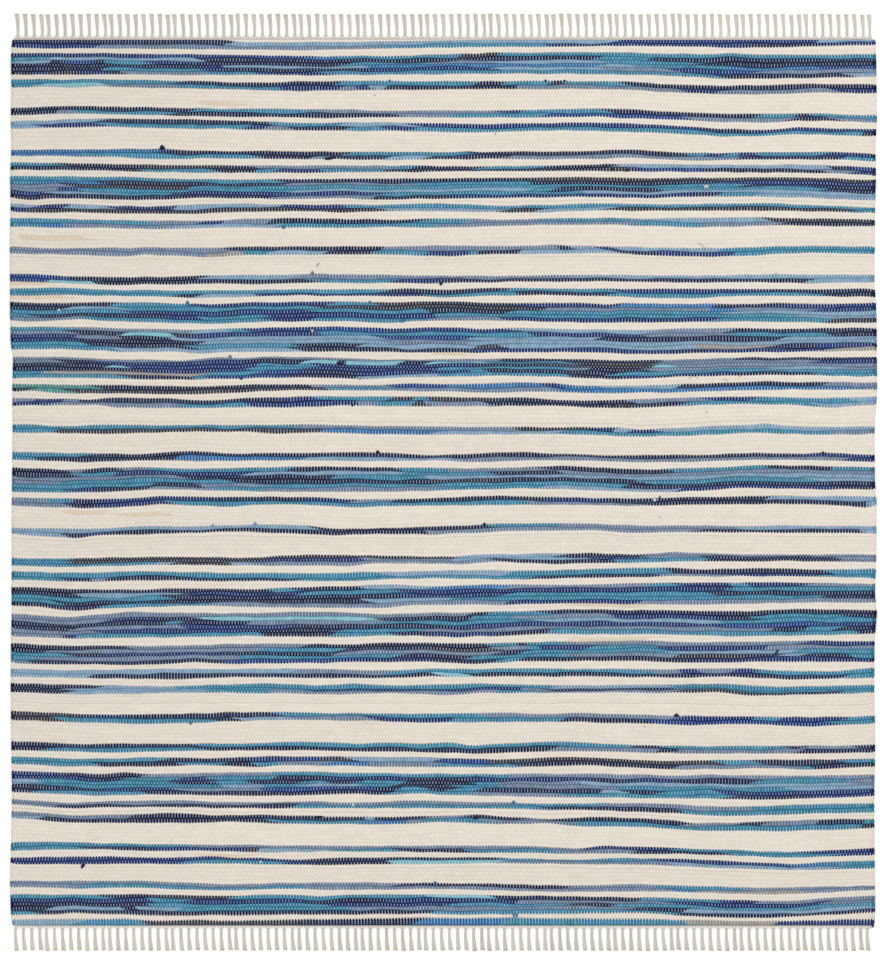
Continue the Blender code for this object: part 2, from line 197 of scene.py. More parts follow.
# The stripes down the rug, from the far end. Centimetres from the left edge and from the far
# edge. far and near are the stripe's two long edges, and each pick below them is one row of
# rag weft: a yarn's letter and where that yarn stops, after a number where the pick is thinner
# or thicker than its neighbours. Undyed rows fill the gaps between.
stripeChart = """
far 0:0 45:0 48:0.6 60:0.7 75:0.5 90:0.3 100:0.1 120:0 183:0
near 0:1.8 20:2.0 40:2.0 60:2.3 80:1.9 100:1.6 120:1.5 130:1.3 140:1.5 155:1.8 170:1.5 175:1.2 183:1.1
pick k46 y128 n171 y183
pick n18 s78 t113 n155 k171 n183
far 0:2.9 20:3.0 40:3.2 60:3.6 80:3.6 100:2.9 120:2.7 135:3.0 145:3.2 150:3.0 160:3.3 175:3.3 183:3.1
near 0:7.5 8:7.5 20:7.4 40:7.5 60:7.6 80:7.5 100:7.2 120:7.3 135:7.5 145:8.0 150:8.4 160:8.3 175:8.1 183:7.8
pick n30 r63 c70 t95 b103 t183
pick t8 y40 k124 t135 k183
pick y8 k11 r18 k20 t29 n40 k71 t88 s101 y125 t145 k183
pick 0.8 k40 n45 y75 c125 y132 t152 c171 r183
pick k20 t40 n45 k75 n102 y125 s140 n150 r157 s183
pick k5 n8 b14 n20 k24 s41 t52 n66 t150 k177 y183
far 0:8.5 20:8.5 40:8.9 45:9.1 56:9.2 60:8.9 100:8.9 130:8.9 135:9.3 140:9.6 150:9.8 160:9.8 168:9.4 175:9.6 180:9.4 183:9.7
near 0:10.1 20:10.0 40:10.4 60:10.9 80:10.6 120:10.4 130:10.5 140:11.2 150:11.6 160:11.6 170:11.2 183:11.4
pick t35 k69 t98 k104 t114 k117 t130 k183
pick t6 a20 s35 t57 n70 s73 n76 y79 k107 s142 n150 s174 n183
far 0:14.6 15:14.2 40:14.7 70:14.9 78:15.2 100:15.1 120:14.8 130:14.8 140:15.4 150:15.8 170:15.8 183:16.2
near 0:16.0 15:15.7 40:16.4 60:16.5 68:16.7 80:16.4 100:16.6 125:16.4 130:16.8 140:17.0 150:17.5 160:17.6 170:17.2 183:17.6
pick k39 t63 s103 n108 t126 k158 t166 k169 t183
pick k10 s14 t34 k82 s93 t113 r143 s165 k174 s183
far 0:17.4 20:16.8 40:17.0 60:17.7 80:17.6 97:18.0 120:17.7 130:17.8 140:18.3 150:19.0 155:19.2 160:19.1 167:18.6 175:19.0 183:19.1
near 0:18.9 20:18.5 40:18.9 60:19.3 80:19.4 97:19.7 120:19.2 130:19.6 140:19.9 150:20.5 160:20.4 165:20.1 183:20.5
pick y19 k55 t70 y85 n146 k156 n183
pick y6 n19 t50 n54 s59 k71 t79 n85 t180 k183
far 0:23.5 20:23.4 33:23.3 40:23.7 60:23.8 80:24.0 120:23.8 130:23.4 140:23.9 150:24.2 160:24.0 175:23.9 183:24.4
near 0:24.7 20:24.8 33:25.4 40:25.2 60:25.3 80:25.5 100:25.3 125:25.4 130:25.0 145:25.7 160:25.4 175:25.4 183:25.9
pick c32 k71 t97 k143 t147 n151 t154 n158 t172 n183
pick c15 t52 k64 s67 k80 y88 k105 s154 k176 t183
far 0:26.2 20:26.4 40:26.8 80:26.8 100:27.0 120:26.6 135:26.4 150:26.7 170:26.6 183:27.2
near 0:27.7 20:27.8 34:28.2 40:28.3 60:28.2 67:28.2 100:27.9 120:27.9 140:28.1 160:28.2 175:28.4 183:28.9
pick t10 k28 b45 k52 s80 t85 k99 t112 k128 y173 k177 n183
pick k28 t43 k52 t56 n66 t79 k125 b131 n134 r147 k172 s178 n183
far 0:29.0 20:29.2 40:29.7 60:29.7 80:29.6 100:29.4 120:29.2 130:29.4 150:29.4 160:29.2 170:29.4 183:29.8
near 0:33.6 5:34.0 10:33.7 20:33.9 30:34.0 40:33.5 60:33.8 70:33.6 77:34.0 90:33.8 120:33.3 135:33.7 140:33.3 160:33.3 183:34.1
pick t57 k110 b183
pick t5 c19 k58 s85 t110 k150 n183
pick s12 b38 t155 k163 n168 k183
pick s10 n12 r15 t60 y110 t115 k137 t172 k183
pick n8 y22 t34 n78 t121 y183
pick k55 s77 k94 n145 k150 t158 y183
far 0:34.8 5:35.2 10:34.9 20:35.2 30:35.5 40:35.0 50:34.9 67:35.2 70:34.9 75:35.2 90:34.8 105:35.3 125:34.8 135:35.1 163:34.7 167:35.1 183:35.7
near 0:36.4 5:36.8 10:36.6 25:36.9 40:37.0 45:36.6 60:36.4 70:36.7 80:36.3 100:36.5 105:36.8 125:36.2 160:36.3 183:36.7
pick y5 n12 y21 n35 y57 n71 t183
pick n4 b79 y104 b112 y127 b178 t183
far 0:37.9 10:38.1 30:38.5 40:38.5 55:38.0 65:38.0 80:38.3 95:38.0 105:38.3 115:38.0 130:37.8 133:38.2 140:37.9 160:37.8 183:38.3
near 0:39.7 20:40.0 30:40.2 50:39.8 70:39.9 95:39.8 110:39.3 125:39.2 135:39.5 145:39.8 160:39.4 183:39.6
pick t30 s40 n45 s55 k87 t97 s112 t132 y160 b183
pick t6 c12 s35 y57 t90 s132 t146 s163 k183
far 0:44.0 10:44.4 20:44.2 40:44.3 50:44.0 70:43.9 80:44.0 95:43.7 105:43.9 115:43.6 125:43.9 140:44.4 150:44.3 168:43.8 183:44.0
near 0:45.3 10:45.5 25:46.0 28:45.4 35:45.8 42:46.2 50:45.7 80:45.5 93:46.0 97:45.6 125:45.2 140:46.0 155:46.0 168:45.2 183:45.5
pick s46 k79 s116 k119 y124 n128 y150 t183
pick s42 g49 t55 y67 k77 t88 n97 t99 k108 y128 k137 n153 t183
far 0:49.8 5:49.8 13:50.3 30:50.4 40:50.1 70:49.8 90:50.2 105:50.2 120:49.9 145:50.2 155:49.9 183:50.0
near 0:51.3 10:51.6 20:52.0 35:52.0 45:51.7 52:51.9 65:51.5 90:51.7 105:51.3 125:51.3 145:51.6 155:51.4 168:51.7 183:51.5
pick r13 k41 y60 s120 y183
pick r8 a18 k64 t81 n92 k169 y183
far 0:52.8 5:52.9 9:52.6 20:53.1 40:53.3 60:53.1 79:52.9 88:52.9 91:53.1 100:52.7 120:52.9 150:53.0 183:53.0
near 0:54.2 5:54.4 10:54.1 30:54.5 40:54.8 60:54.3 88:54.4 91:54.7 105:54.2 120:54.3 138:54.8 147:54.8 155:54.3 170:54.4 178:54.6 183:54.6
pick t79 k105 t128 n160 k183
pick t35 k40 y52 n88 t107 k127 t172 k183
far 0:55.6 5:56.0 20:55.7 30:55.8 40:56.3 50:55.9 65:55.6 82:55.8 93:55.5 100:55.9 120:55.9 127:56.3 130:56.0 155:56.2 162:55.9 175:56.2 183:55.9
near 0:59.5 5:59.8 15:59.3 25:59.9 45:60.3 55:59.8 70:59.7 80:60.1 90:59.5 110:59.7 120:60.0 131:60.0 155:59.8 165:60.0 183:60.1
pick k22 t38 n68 t77 b88 k108 n128 c149 k162 n183
pick k12 y24 t65 b113 s148 c153 s170 n183
pick t25 n64 t88 k105 t150 y183
pick t5 k32 n40 t54 n90 t165 y183
pick s14 t54 n64 t88 s104 n149 t173 b183
far 0:61.0 10:60.9 25:61.3 40:61.6 50:61.2 70:60.9 80:61.4 90:61.1 100:61.4 105:61.2 130:61.7 145:61.3 155:61.2 163:61.5 180:61.1 183:61.3
near 0:65.7 10:65.6 25:66.2 35:66.1 41:66.7 45:66.2 75:66.2 90:66.4 120:66.2 137:66.8 145:66.5 170:66.2 183:66.0
pick t13 s38 y46 t50 n65 r78 n106 y135 s152 k183
pick s13 k24 a34 k38 n65 t110 n134 s152 t173 k183
pick n14 s23 k34 y78 r97 y124 k163 y183
pick n14 k40 y79 s97 y183
pick t16 k38 t60 k74 y98 b104 y145 g160 k170 n183
pick t22 y60 k97 n140 k148 n172 g183
far 0:67.4 10:67.3 18:67.8 35:68.2 45:67.4 48:67.8 53:67.3 65:67.4 75:67.9 90:67.9 105:67.6 130:68.1 145:67.8 155:67.5 183:67.4
near 0:71.8 10:71.7 25:72.0 40:72.1 60:71.6 75:72.0 80:71.7 100:71.3 110:71.3 127:72.1 140:71.5 160:71.1 170:71.2 183:71.5
pick 0.6 s103 k137 s153 k183
pick s10 k17 n50 k62 a69 k71 a82 k88 a100 t118 b136 s170 n183
pick k20 a24 n52 t64 n97 k110 b136 a140 s183
pick k28 n50 t62 n90 t118 s122 k134 s160 y175 s183
pick t7 g40 t52 r61 k73 n97 t100 k127 t183
pick t24 k38 t41 r58 k73 y90 t118 k127 n153 k170 t183
far 0:73.1 20:73.3 42:73.7 50:73.2 60:73.1 75:73.4 85:73.0 100:73.1 105:72.7 115:72.9 120:73.5 130:73.5 158:72.6 183:72.8
near 0:74.6 5:74.5 10:75.0 42:75.2 57:74.4 75:74.3 90:74.6 100:74.9 110:74.6 130:75.1 134:74.7 137:75.0 145:74.6 165:74.2 183:74.3
pick e18 k63 s80 r92 c112 n116 c125 y141 k172 s183
pick k4 e12 b67 t80 s115 c180 s183
far 0:76.0 9:76.3 12:76.0 16:76.6 20:76.0 30:76.0 42:76.7 50:76.0 67:75.7 85:75.7 100:76.1 107:75.9 120:76.7 140:76.0 158:75.8 170:76.1 183:75.8
near 0:77.7 12:77.4 18:77.5 23:78.0 42:78.1 65:77.9 70:77.5 90:77.8 115:77.6 128:78.2 140:77.7 155:77.2 165:77.4 174:78.0 183:77.3
pick s5 n11 s14 k57 n65 t80 b85 t88 b103 k131 s147 n157 t178 y183
pick n9 s35 t50 n73 s77 t85 b88 s101 k125 b131 k142 t170 y183
far 0:81.7 5:81.7 10:82.2 20:81.7 30:81.9 67:81.7 75:82.0 108:82.3 128:82.3 133:82.8 140:82.5 160:81.6 168:82.2 183:82.1
near 0:83.3 20:83.6 30:83.3 48:83.1 57:83.6 65:83.3 85:83.8 115:83.6 130:84.1 140:84.1 158:83.3 170:83.8 183:83.6
pick t60 s107 b122 n128 y131 n137 y183
pick t9 b66 c90 y116 t174 s183
far 0:87.5 27:88.0 38:87.3 48:87.9 75:87.5 90:88.2 108:87.5 123:88.2 145:88.2 158:87.7 167:88.0 172:87.7 183:88.1
near 0:89.0 15:89.6 27:89.2 40:89.4 50:89.2 80:89.4 90:89.2 100:89.6 115:89.1 133:89.6 145:89.5 160:89.0 183:89.5
pick t16 k166 n183
pick t5 k35 c62 y95 s177 n183
far 0:90.8 12:91.3 24:90.7 38:91.1 65:90.5 95:91.0 105:90.9 115:90.4 130:91.1 140:91.1 160:90.3 183:90.7
near 0:95.9 20:96.0 30:95.2 40:95.5 56:95.9 75:95.9 105:95.2 115:95.2 125:95.7 140:96.0 155:95.0 172:95.4 183:95.3
pick k12 s15 k23 s29 t59 k82 t92 s113 k140 t160 k174 t183
pick k13 t22 n50 y82 t102 k116 s183
pick s36 k68 t88 y183
pick s10 t46 k88 b104 k134 t170 y183
pick t30 k40 s53 t130 k183
pick t12 n18 k30 s43 t53 s90 t112 y141 n175 k183
far 0:97.2 25:97.5 30:96.9 50:97.0 62:97.0 73:97.6 85:97.4 100:96.8 110:97.0 130:97.4 160:96.8 183:97.0
near 0:98.8 15:99.3 25:99.0 32:98.5 46:99.1 53:98.6 62:98.6 73:99.2 85:98.8 120:98.6 133:98.9 160:98.4 170:98.5 181:99.2 183:98.7
pick s8 t13 k18 n43 k63 n72 s81 k112 n125 k160 y183
pick s12 k17 n33 t109 s133 k181 y183
far 0:103.6 20:103.8 25:103.3 45:103.2 52:102.8 63:103.0 66:103.7 75:103.8 97:103.1 100:102.7 120:102.7 130:103.0 153:103.2 168:103.1 183:103.3
near 0:104.8 14:105.8 18:105.2 48:104.3 60:104.7 68:105.2 75:104.8 90:104.9 105:104.2 123:104.0 130:104.6 150:104.4 183:104.7
pick y64 k101 t116 s153 y183
pick y11 k15 n20 k88 s145 k180 y183
far 0:109.9 8:110.2 32:109.7 52:110.0 56:109.5 65:109.3 94:109.8 98:109.3 120:108.9 130:109.3 142:108.7 150:109.2 183:109.3
near 0:111.5 10:111.8 30:111.4 65:111.5 72:111.7 76:110.9 95:111.2 103:110.7 115:111.2 128:111.0 145:110.6 183:110.7
pick 0.7 t12 b94 y116 k134 s183
pick t12 b52 n74 s94 y122 n134 s146 k175 s183
pick t30 y34 b46 y50 s102 k128 t147 k175 s183
far 0:112.8 15:113.1 28:112.8 45:113.1 65:113.2 97:112.6 110:112.7 120:112.3 138:112.0 145:112.4 160:112.1 168:112.4 183:112.3
near 0:114.5 17:115.0 25:114.7 55:114.8 73:114.8 80:114.4 90:114.2 108:114.5 120:114.1 140:113.8 155:113.8 173:113.8 183:114.3
pick 1.8 t79 y105 t139 k173 t183
pick t11 k17 s20 k60 t110 k137 s152 n171 t183
far 0:116.0 10:116.5 28:116.8 34:116.4 52:116.6 58:116.2 70:116.0 80:115.5 86:116.0 103:115.6 120:115.7 138:115.2 172:115.2 183:115.5
near 0:120.0 5:120.2 13:121.3 20:120.6 38:120.0 55:120.3 78:120.6 85:119.9 95:119.7 103:119.9 115:119.5 142:119.8 165:119.4 183:119.4
pick k55 t60 k74 y88 c105 s135 t141 n152 t156 n169 s183
pick k14 y36 n62 t82 n152 t183
pick t33 k82 n105 t148 k183
pick t10 k75 y93 t172 k183
pick k19 t42 s105 n133 s183
far 0:121.8 12:122.6 18:122.1 25:121.4 45:121.8 66:121.3 78:121.9 110:121.2 117:120.9 140:121.1 150:121.3 168:120.8 183:121.0
near 0:126.4 12:127.0 25:126.8 50:126.4 70:126.7 80:126.3 95:126.7 115:126.0 140:126.1 155:126.6 183:126.0
pick s97 k101 t113 k183
pick s20 n30 k40 a77 k97 t106 s127 n150 k157 t175 k183
pick k33 t36 k50 s78 t112 y150 t183
pick k13 s36 n60 k95 n150 r170 n183
pick s18 n52 k69 t87 s161 k168 t175 k183
pick s11 n14 t53 k68 t81 k88 n103 k114 t179 k183
far 0:128.0 10:128.6 35:128.6 52:128.1 70:128.3 80:127.9 98:128.1 135:127.5 145:127.9 170:127.5 183:127.7
near 0:132.0 5:132.4 27:132.6 40:132.0 46:132.4 75:132.0 88:131.9 98:132.4 108:131.8 130:131.7 145:132.2 160:131.9 183:132.0
pick k25 s62 k101 t107 k109 t117 s168 n183
pick k8 s53 t70 k88 b103 s109 t112 n123 t137 n160 s183
pick t12 k20 n45 k69 s103 k109 t140 y166 t183
pick t5 s48 t82 k97 t118 s141 b157 k163 y168 k178 t183
pick s4 k45 r72 n90 k103 t108 k145 n183
far 0:133.4 10:133.8 33:133.5 65:133.4 78:133.9 90:133.5 112:133.4 140:133.6 155:133.3 163:133.9 174:134.0 183:133.3
near 0:135.1 20:135.4 33:135.7 50:135.1 68:135.4 90:135.1 123:135.0 144:135.3 150:135.0 165:135.7 183:135.3
pick y60 s80 t135 s142 n146 s153 n158 t183
pick y17 k90 a97 k177 t183
far 0:136.5 10:136.8 33:137.2 55:136.5 65:136.9 75:136.6 83:137.1 100:136.6 115:137.0 135:136.9 150:136.6 163:137.3 183:136.9
near 0:138.4 15:138.8 43:138.4 53:138.6 70:138.8 80:138.5 93:139.0 100:138.5 150:138.4 158:139.1 183:138.5
pick 1.4 k19 y35 t115 y140 t183
pick 0.6 k12 y41 t63 n108 s114 k141 t183
pick k12 y41 t55 s103 t112 s141 b156 k176 t183
far 0:142.4 10:142.9 18:143.2 28:143.2 50:142.6 80:143.0 103:142.8 115:143.2 118:142.8 138:143.4 165:143.7 183:143.5
near 0:144.2 15:144.8 28:145.1 38:144.9 55:144.2 70:144.3 86:144.8 118:144.6 145:145.3 155:145.1 170:145.6 183:144.9
pick b17 n25 k57 t100 s141 n157 t163 n177 t183
pick b10 t43 k48 y60 s76 n93 t117 k135 r174 t183
far 0:148.8 13:149.4 50:149.3 65:148.9 73:149.5 78:149.0 86:149.4 93:149.1 97:149.7 115:148.8 130:149.6 145:149.9 175:149.8 183:149.5
near 0:150.7 18:151.1 28:151.1 38:150.8 60:150.6 75:151.0 85:150.9 98:151.4 120:150.8 140:151.3 168:151.4 183:151.1
pick k39 t132 k138 t164 k168 s179 k183
pick k8 t40 k115 s137 k141 s167 k183
far 0:152.0 14:152.7 33:152.2 42:152.5 53:152.0 88:152.2 103:152.7 114:152.2 123:152.3 138:153.0 158:152.8 183:152.6
near 0:153.5 12:154.1 30:154.2 38:153.8 53:154.2 58:153.8 75:154.1 107:154.3 123:153.8 140:154.8 163:154.5 168:154.9 183:154.2
pick t32 k50 n60 r66 b72 y90 r101 b150 t158 k176 t183
pick t18 k36 t45 k52 t57 s67 c76 s90 t107 k141 s167 t170 k183
far 0:155.1 20:155.8 24:155.4 28:155.8 62:155.2 70:155.6 95:155.8 133:155.8 140:156.2 147:155.9 165:156.2 183:155.9
near 0:159.5 18:160.3 28:160.0 57:160.4 70:159.9 80:160.1 86:159.7 95:160.2 116:160.7 145:160.9 160:161.2 183:160.4
pick n10 k28 s55 t106 s183
pick n19 k25 t35 n42 t56 k66 n83 k97 n123 k130 n141 k158 t178 s183
pick y6 t34 k43 t50 k62 t67 k74 t83 k98 t103 s120 y178 s183
pick y4 t45 y53 t62 y74 t81 k94 t104 s128 t165 y183
pick k20 n35 s53 r77 k82 t88 k93 t99 k125 y130 k137 t150 n183
pick k5 t28 k80 t97 s117 t152 k170 n183
far 0:161.1 13:162.0 24:161.4 38:161.4 44:161.8 65:161.6 72:162.0 86:161.4 95:161.7 115:162.0 138:162.0 152:162.8 176:162.0 183:162.1
near 0:162.1 13:163.0 30:162.6 46:163.0 85:162.9 105:163.0 115:163.4 120:163.2 138:163.9 150:164.6 160:164.4 183:163.9
pick s106 t125 s157 t183
pick s9 k60 t113 k142 t183
far 0:163.6 13:164.6 33:164.1 39:164.1 43:164.6 52:164.4 77:165.0 88:164.7 99:164.4 113:165.4 123:164.8 140:165.4 144:166.2 152:166.2 173:165.3 183:165.3
near 0:165.0 12:166.0 40:166.1 47:165.7 58:166.3 82:166.3 92:165.9 102:166.3 115:166.2 121:166.8 135:166.9 145:167.7 165:167.8 183:167.2
pick 0.75 s25 k75 y77 k88 s96 k109 s113 k143 s154 k160 s171 k181 t183
pick y6 k55 t75 c84 s87 t100 s119 t180 k183
far 0:170.3 14:170.2 22:170.6 45:170.8 60:171.0 110:171.0 120:171.7 125:171.0 145:171.6 165:172.4 183:171.4
near 0:171.9 18:171.6 28:172.1 40:171.9 53:172.3 70:172.1 98:172.4 118:172.5 150:172.8 165:173.5 183:172.9
pick t38 s121 n141 t168 n183
pick t15 k30 n50 b53 y68 t82 k97 t116 s132 k152 t175 n183
far 0:173.5 20:173.2 30:173.6 43:173.3 63:174.0 67:173.5 97:173.4 120:174.0 130:173.6 143:173.7 165:174.9 177:174.2 183:174.1
near 0:174.7 15:174.9 45:174.7 70:175.0 100:174.6 135:174.9 160:176.0 169:176.0 183:175.7
pick n62 k104 t136 n165 c175 t183
pick n36 t58 n62 k80 a104 s140 y175 t183
far 0:178.5 25:178.4 45:179.2 65:178.8 103:179.0 123:179.5 130:179.1 160:180.0 170:179.7 183:179.4
near 0:179.7 18:180.0 25:179.7 45:180.5 57:180.0 68:180.3 91:180.1 118:180.7 135:180.5 160:181.3 183:180.3
pick s82 k118 s137 t155 s183
pick s15 t63 s140 c145 g168 s183
far 0:181.3 28:181.3 46:181.7 55:181.3 65:181.6 78:181.2 103:181.5 130:181.8 153:182.5 165:182.8 172:182.0 183:181.6
near 0:185.6 10:185.4 14:185.1 32:185.7 55:185.6 78:185.4 88:185.3 95:185.5 122:185.3 132:185.0 147:186.0 160:186.2 183:185.0
pick t20 k30 b47 t88 a102 k133 t150 n158 s183
pick n30 t37 n62 k80 n107 s140 n172 s183
pick k29 t67 n93 t118 k128 t183
pick k8 y24 k27 y36 t72 s131 k143 y183
pick t5 k89 t141 k183
far 0:186.6 24:186.5 32:187.0 38:186.7 45:186.9 82:186.3 107:186.3 135:186.6 162:187.0 183:186.6
near 0:187.8 183:187.8
pick y14 t28 b60 k86 c104 t143 g162 n183
"""

# Warmer streaks in the undyed rows: how far down, from where to where, in centimetres
warmStreaks = [
    (13.3, 0, 15), (13.6, 40, 48), (51.9, 0, 8), (54.9, 0, 13), (66.8, 89, 96), (100.3, 23, 33),
    (100.6, 11, 20), (127.2, 118, 135), (172.8, 40, 51), (42.4, 2, 16), (120.2, 118, 134),
]

weave = dict(
    width=183.0, length=187.8,          # cm
    # cm from the left, and the pitch of the dashes there: two warp ends, closer near the sides
    dashPitch=[(0, 0.612), (25, 0.622), (58, 0.646), (152, 0.652), (166, 0.641), (183, 0.622)],
    undyedRow=0.80,                     # cm from row to row where the rug is undyed
    stationStep=1.52,                   # cm between the mesh's stations along a row
    sideStations=(0.0, 0.1, 0.3, 0.7), firstStep=1.2,   # cm, the closer ones at the two sides
    slices=(0.0, 0.16, 0.5, 0.84),      # where the mesh steps across a row
    crest=6.0, groove=5.0, undyedCrest=5.8, undyedGroove=5.4, floorGroove=0.7,   # mm
    edgeHeight=3.2, edgeThickness=0.6,  # mm, at the very side
    sideRound=0.7, ribShape=0.55, turnShare=0.4,
    leastRow=0.12, leastSlice=0.02,     # cm
    crestStray=0.22, rowStray=0.12, edgeStray=0.052, selvedgeTurn=0.07,   # mm, cm, cm, cm
    taper=(0.6, 2.6),                   # cm, half the length over which one yarn gives way to the next
    rowSeed=1.37, farAway=-1000.0,
    pieces=16,
)


def smooth(values, times=1):
    values = np.array(values, float)
    for _ in range(times):
        padded = np.concatenate([values[:1], values, values[-1:]])
        values = 0.25 * padded[:-2] + 0.5 * padded[1:-1] + 0.25 * padded[2:]
    return values


def slowNoise(count, reach, times=3):
    raw = smooth(noise.standard_normal(count), times)
    return raw / max(1e-6, raw.std()) * reach


def edgeLine(words, stations):
    pairs = [tuple(float(v) for v in word.split(":")) for word in words]
    xs, ys = zip(*pairs)
    line = smooth(np.interp(stations, xs, ys))
    return line + slowNoise(len(line), weave["edgeStray"], 1) * (line > 0.5) * (line < 187.2)


def makeStations():
    first = weave["firstStep"]
    inner = np.linspace(first, weave["width"] - first, int(weave["width"] / weave["stationStep"]))
    ends = np.array(weave["sideStations"])
    return np.concatenate([ends, inner, weave["width"] - ends[::-1]])


def readChart(stations):
    # every row of the rug, from the far end: its two edges at each station and its yarns
    stripes = []
    for line in stripeChart.split("\n"):
        words = line.split()
        if not words:
            continue
        if words[0] == "far":
            stripes.append(dict(far=edgeLine(words[1:], stations), picks=[]))
        elif words[0] == "near":
            stripes[-1]["near"] = edgeLine(words[1:], stations)
        else:
            share = 1.0
            if words[1][0].isdigit():
                share = float(words.pop(1))
            stripes[-1]["picks"].append((share, [(word[0], float(word[1:])) for word in words[1:]]))
    rows = []
    before = np.zeros(len(stations))
    for stripe in stripes:
        gap = float(np.mean(stripe["far"] - before))
        count = max(1, round(gap / weave["undyedRow"]))
        addRows(rows, before, stripe["far"], [(1.0, [("w", weave["width"])])] * count, undyed=True)
        before = stripe["near"]
        addRows(rows, stripe["far"], stripe["near"], stripe["picks"], undyed=False)
    for down, start, stop in warmStreaks:
        middle = (start + stop) / 2
        at = int(np.argmin(abs(stations - middle)))
        undyedRows = [row for row in rows if row["undyed"]]
        found = min(undyedRows, key=lambda row: abs((row["far"][at] + row["near"][at]) / 2 - down))
        yarns = (("w", start), ("p", stop), ("w", weave["width"]))
        found["yarns"] = [(letter, end) for letter, end in yarns if end > 0]
    return rows


def addRows(rows, far, near, yarnLists, undyed):
    count = len(yarnLists)
    total, reached = sum(share for share, _ in yarnLists), 0.0
    lines = []
    for k in range(count + 1):
        line = far + (near - far) * reached / total
        reached += yarnLists[k][0] if k < count else 0.0
        if 0 < k < count:
            line = line + slowNoise(len(line), weave["rowStray"] * (0.5 if undyed else 1.0), 6)
        lines.append(line)
    for k, (_, yarns) in enumerate(yarnLists):
        rows.append(dict(far=lines[k], near=lines[k + 1], yarns=list(yarns), undyed=undyed))


def dashCount(stations):
    # how many dashes lie to the left of each station
    places, pitches = zip(*weave["dashPitch"])
    fine = np.linspace(0, weave["width"], 1831)
    pitch = np.interp(fine, places, pitches)
    count = np.concatenate([[0], np.cumsum(np.diff(fine) / ((pitch[:-1] + pitch[1:]) / 2))])
    return np.interp(stations, fine, count)


stations = makeStations()
dashesLeft = dashCount(stations)
rows = readChart(stations)
print("rows of weft:", len(rows), "undyed:", sum(r["undyed"] for r in rows))


def sideEdges():
    # the two side edges of the solid cloth, as x against cm from the far end
    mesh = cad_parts["woven_cloth"].data
    points = np.empty(len(mesh.vertices) * 3, np.float32)
    mesh.vertices.foreach_get("co", points)
    points = points.reshape(-1, 3)
    down = (solidTop - points[:, 1]) * 100
    bins = np.round(down / 0.8).astype(int)
    keys = [k for k in sorted(set(bins)) if points[bins == k, 0].max() > 0.85]
    left = [points[bins == k, 0].min() for k in keys]
    right = [points[bins == k, 0].max() for k in keys]
    return np.array(keys) * 0.8, smooth(left), smooth(right)


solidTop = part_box("woven_cloth")[1][1]
edgeDown, edgeLeft, edgeRight = sideEdges()


def yarnCells(row):
    if "cells" not in row:
        row["cells"] = findCells(row)
    return row["cells"]


def findCells(row):
    # for each cell along the row: its left yarn, its right one, and the slanted line between
    cells = len(stations) - 1
    letters = [row["yarns"][0][0]] * cells
    after = list(letters)
    place, slant = np.full(cells, weave["farAway"]), np.zeros(cells)
    changes = [(end, old, new) for (old, end), (new, _) in zip(row["yarns"], row["yarns"][1:])]
    middles = (stations[:-1] + stations[1:]) / 2
    for k, (x, old, new) in enumerate(changes):
        gapBefore = x - (changes[k - 1][0] if k else 0.0)
        gapAfter = (changes[k + 1][0] if k + 1 < len(changes) else weave["width"]) - x
        room = max(0.0, min(gapBefore, gapAfter) / 2 - 0.9)
        lean = min(room, random.uniform(*weave["taper"])) * random.choice((-1, 1))
        reach = abs(lean) + weave["stationStep"] * 0.75
        for cell in np.nonzero(middles > x - reach)[0]:
            if middles[cell] < x + reach:
                letters[cell], after[cell], place[cell], slant[cell] = old, new, x, lean
            else:
                letters[cell] = after[cell] = new
                place[cell], slant[cell] = weave["farAway"], 0.0
    return letters, after, place, slant


def stripLines(chosen):
    # the mesh's lines over a strip: where each lies, how far it is over its row, and which row
    lines, drops, owners = [], [], []
    for k, row in enumerate(chosen):
        width = np.maximum(row["near"] - row["far"], weave["leastRow"])
        for share in weave["slices"]:
            lines.append(row["far"] + share * width)
            drops.append(share)
            owners.append(k)
    lines.append(np.maximum(chosen[-1]["near"], lines[-1] + weave["leastSlice"]))
    return lines, np.array(drops + [0.0]), np.array(owners + [len(chosen) - 1])


def stripPoints(chosen, lines, drops, owners):
    # the points of the top, then those of the underside
    cols = len(stations)
    crests, grooves = [], []
    for row in chosen:
        kind = ("undyedCrest", "undyedGroove") if row["undyed"] else ("crest", "groove")
        crests.append(weave[kind[0]] + slowNoise(cols, weave["crestStray"], 2))
        grooves.append(weave[kind[1]])
    share = stations / weave["width"]
    side = np.minimum(stations, weave["width"] - stations)
    rounding = np.sqrt(np.clip(1 - (1 - np.clip(side / weave["sideRound"], 0, 1)) ** 2, 0, 1))
    edge = weave["edgeHeight"]
    top, underside = [], []
    for y, drop, owner in zip(lines, drops, owners):
        rib = math.sin(math.pi * drop) ** weave["ribShape"] if drop else 0.0
        turn = weave["selvedgeTurn"] * (rib - weave["turnShare"])
        left = np.interp(y, edgeDown, edgeLeft) * 100 - turn
        right = np.interp(y, edgeDown, edgeRight) * 100 + turn
        x = (left + share * (right - left)) / 100
        high = grooves[owner] + (crests[owner] - grooves[owner]) * rib
        low = weave["floorGroove"] * (1 - rib)
        upper = edge + (high - edge) * rounding
        lower = (edge - weave["edgeThickness"]) * (1 - rounding) + low * rounding
        top.append(np.stack([x, solidTop - y / 100, upper / 1000], -1))
        underside.append(np.stack([x, solidTop - y / 100, lower / 1000], -1))
    return np.concatenate(top + underside)


